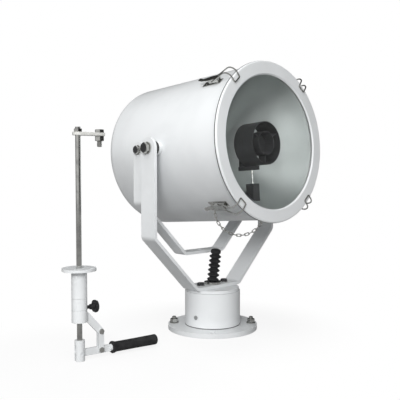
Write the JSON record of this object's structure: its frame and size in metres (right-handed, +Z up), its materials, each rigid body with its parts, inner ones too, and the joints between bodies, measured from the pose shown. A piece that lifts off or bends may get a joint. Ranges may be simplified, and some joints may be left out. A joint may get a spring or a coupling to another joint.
{
  "type": "marine searchlight",
  "caption": "Deck searchlight: spun drum lamp with latched glass front in a yoke on a flanged pedestal, tilted by a bail, with its lever hand control standing beside it.",
  "frame": {"origin": "centre of the deck flange's underside", "axes": "+Z up along the pan axis, -Y the way the lamp points at rest, +X along the trunnions"},
  "size_m": [0.7088, 0.4539, 0.6979],
  "materials": {
    "white_paint": "semi-gloss enamel",
    "bright_steel": "bright stainless",
    "dark_steel": "blackened",
    "black_paint": "matte",
    "bronze": "turned bearing bronze",
    "black_rubber": "moulded",
    "grey_rubber": "extruded silicone",
    "black_plastic": "moulded",
    "clear_glass": "polished",
    "bulb_glass": "frosted",
    "mirror_silver": "silvered"
  },
  "bodies": {
    "pedestal": {"base_flange": "white_paint", "pedestal_tube": "white_paint", "bearing_plate": "white_paint", "pan_bush": "bronze", "tube_screw": "bright_steel", "deck_washers": "bright_steel", "deck_nuts": "bright_steel", "ceiling_flange": "white_paint", "guide_sleeve": "white_paint"},
    "yoke_frame": {"turntable": "white_paint", "pan_spindle": "bright_steel", "spindle_nut": "bright_steel", "yoke": "white_paint", "yoke_bolts": "dark_steel", "boot": "black_rubber", "boot_clamp": "bright_steel"},
    "lamp_head": {"drum_shell": "white_paint", "trunnion_spacers": "black_paint", "trunnion_bolts": "bright_steel", "side_washers": "bright_steel", "bail_spacers": "black_paint", "bail_bolts": "bright_steel", "inner_nuts": "bright_steel", "cable_gland": "black_plastic", "reflector": "mirror_silver", "lamp_stand": "black_paint", "focus_rod": "bright_steel", "lamp_carriage": "black_paint", "lamp_socket": "black_plastic", "lamp_bulb": "bulb_glass", "glare_shield": "black_paint", "ring_gasket": "grey_rubber", "front_glass": "clear_glass", "front_ring": "white_paint", "latch_bases": "bright_steel", "latch_pins": "bright_steel", "safety_chain": "bright_steel"},
    "tilt_bail": {"bail": "white_paint"},
    "control_collar": {"swivel_collar": "white_paint", "support_arm": "white_paint", "link_plates": "white_paint", "link_pins": "bright_steel"},
    "hand_lever": {"control_lever": "white_paint", "lever_grip": "black_rubber"},
    "drive_rod": {"control_rod": "bright_steel", "rod_clevis": "white_paint", "clevis_pin": "white_paint", "drive_arm": "bright_steel", "drive_bolt": "bright_steel", "drive_nuts": "bright_steel"},
    "knob": {"clamp_knob": "black_plastic"},
    "lever_1": {"latch_lever_1": "bright_steel"},
    "wire_1": {"latch_wire_1": "bright_steel"},
    "lever_2": {"latch_lever_2": "bright_steel"},
    "wire_2": {"latch_wire_2": "bright_steel"},
    "lever_3": {"latch_lever_3": "bright_steel"},
    "wire_3": {"latch_wire_3": "bright_steel"},
    "lever_4": {"latch_lever_4": "bright_steel"},
    "wire_4": {"latch_wire_4": "bright_steel"}
  },
  "joints": [
    {"name": "pan", "type": "hinge", "parent": "pedestal", "child": "yoke_frame", "pos_m": [0, 0, 0], "axis": [0, 0, 1], "range_deg": [-180, 180]},
    {"name": "tilt", "type": "hinge", "parent": "yoke_frame", "child": "lamp_head", "pos_m": [0, 0, 0.484], "axis": [-1, 0, 0], "range_deg": [-29, 21]},
    {"name": "bail_swing", "type": "hinge", "parent": "lamp_head", "child": "tilt_bail", "pos_m": [0, 0.04988, 0.48051], "axis": [-1, 0, 0], "range_deg": [-21, 29]},
    {"name": "latch_1_lever", "type": "hinge", "parent": "lamp_head", "child": "lever_1", "pos_m": [0.1322, -0.14701, 0.64672], "axis": [0.7547, -0.0458, -0.6545], "range_deg": [0, 100]},
    {"name": "latch_1_wire", "type": "hinge", "parent": "lever_1", "child": "wire_1", "pos_m": [0.13154, -0.13309, 0.645], "axis": [0.7547, -0.0458, -0.6545], "range_deg": [-100, 0]},
    {"name": "latch_2_lever", "type": "hinge", "parent": "lamp_head", "child": "lever_2", "pos_m": [-0.1322, -0.14701, 0.64672], "axis": [0.7547, 0.0458, 0.6545], "range_deg": [0, 100]},
    {"name": "latch_2_wire", "type": "hinge", "parent": "lever_2", "child": "wire_2", "pos_m": [-0.13154, -0.13309, 0.645], "axis": [0.7547, 0.0458, 0.6545], "range_deg": [-100, 0]},
    {"name": "latch_3_lever", "type": "hinge", "parent": "lamp_head", "child": "lever_3", "pos_m": [-0.1322, -0.16822, 0.34332], "axis": [-0.7547, 0.0458, 0.6545], "range_deg": [0, 100]},
    {"name": "latch_3_wire", "type": "hinge", "parent": "lever_3", "child": "wire_3", "pos_m": [-0.13154, -0.15421, 0.34309], "axis": [-0.7547, 0.0458, 0.6545], "range_deg": [-100, 0]},
    {"name": "latch_4_lever", "type": "hinge", "parent": "lamp_head", "child": "lever_4", "pos_m": [0.1322, -0.16822, 0.34332], "axis": [-0.7547, -0.0458, -0.6545], "range_deg": [0, 100]},
    {"name": "latch_4_wire", "type": "hinge", "parent": "lever_4", "child": "wire_4", "pos_m": [0.13154, -0.15421, 0.34309], "axis": [-0.7547, -0.0458, -0.6545], "range_deg": [-100, 0]},
    {"name": "control_swivel", "type": "hinge", "parent": "pedestal", "child": "control_collar", "pos_m": [-0.43, -0.005, 0], "axis": [0, 0, 1], "range_deg": [-175, 175]},
    {"name": "rod_lift", "type": "slide", "parent": "control_collar", "child": "drive_rod", "axis": [0, 0, 1], "range_m": [-0.0197, 0.0197]},
    {"name": "lever_pivot", "type": "hinge", "parent": "control_collar", "child": "hand_lever", "pos_m": [-0.379, -0.01217, 0.017], "axis": [0.1392, 0.9903, 0], "range_deg": [-21.5, 21.5]},
    {"name": "knob_turn", "type": "hinge", "parent": "control_collar", "child": "knob", "pos_m": [-0.43, -0.005, 0.119], "axis": [0.9903, -0.1392, 0], "continuous": true}
  ],
  "couplings": [
    {"joint": "bail_swing", "follows": "tilt", "ratio": -1},
    {"joint": "latch_1_wire", "follows": "latch_1_lever", "ratio": -1},
    {"joint": "latch_2_wire", "follows": "latch_2_lever", "ratio": -1},
    {"joint": "latch_3_wire", "follows": "latch_3_lever", "ratio": -1},
    {"joint": "latch_4_wire", "follows": "latch_4_lever", "ratio": -1},
    {"joint": "lever_pivot", "follows": "rod_lift", "rad_per_m": 18.904}
  ]
}
